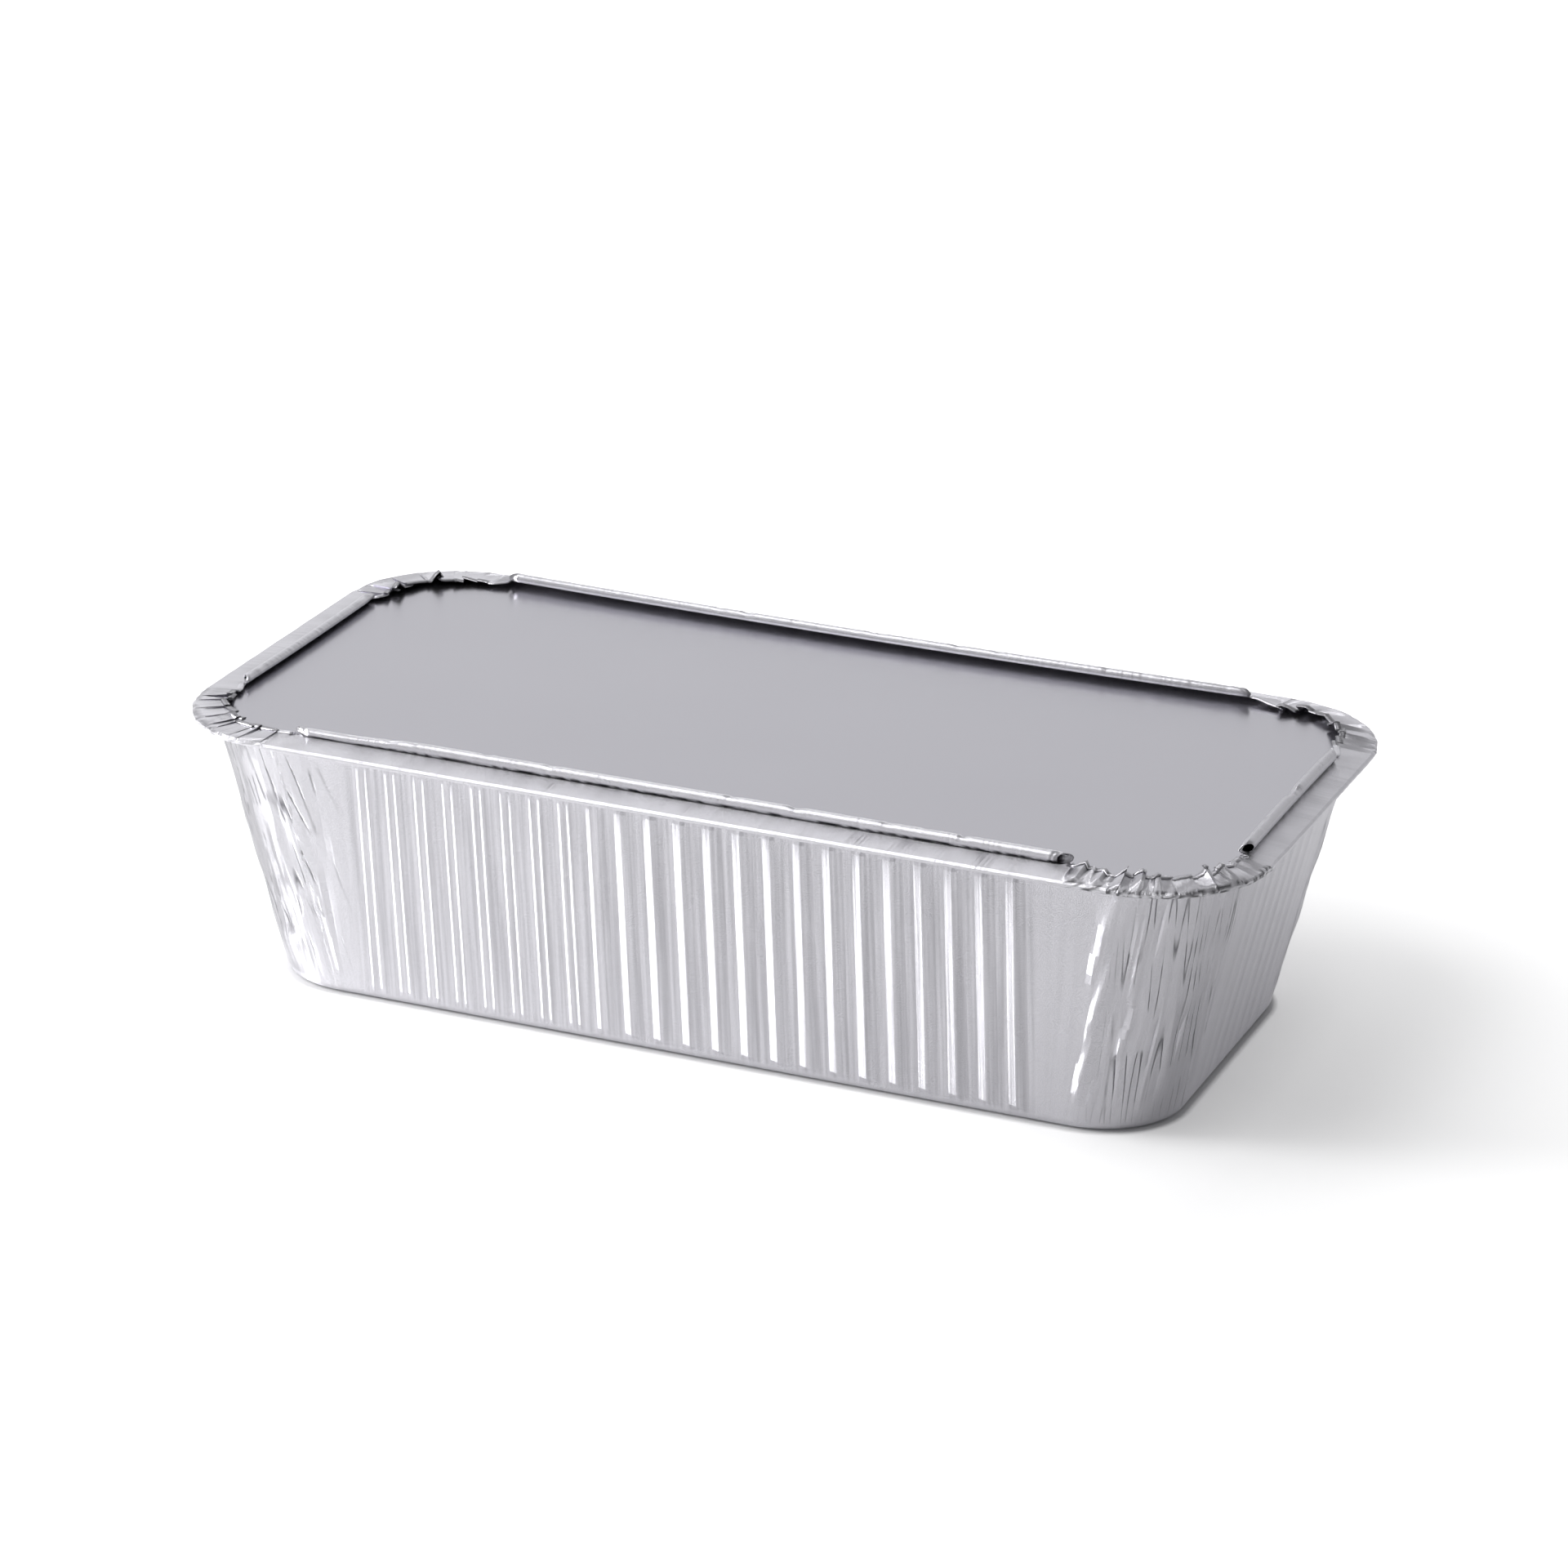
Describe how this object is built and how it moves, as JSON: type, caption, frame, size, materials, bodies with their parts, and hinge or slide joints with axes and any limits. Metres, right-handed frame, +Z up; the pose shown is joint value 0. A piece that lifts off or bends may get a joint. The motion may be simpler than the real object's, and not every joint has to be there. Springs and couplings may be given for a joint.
{
  "type": "foil food container",
  "caption": "Rectangular aluminium foil food tray with ribbed tapered walls and rolled, folded rim, closed by a foil-faced board lid clamped under the rim.",
  "frame": {"origin": "centre of the underside of the base, on the surface that the tray stands on", "axes": "+Z up; X along the long side; -Y towards the long side that the picture shows, +X towards the short side that it shows"},
  "size_m": [0.2, 0.103, 0.0524],
  "materials": {
    "foil": "bright rolled foil, lightly creased",
    "lid_face": "satin silver-grey foil laminate on board"
  },
  "bodies": {
    "root": {"foil_tray": "foil", "board_lid": "lid_face"}
  },
  "joints": []
}
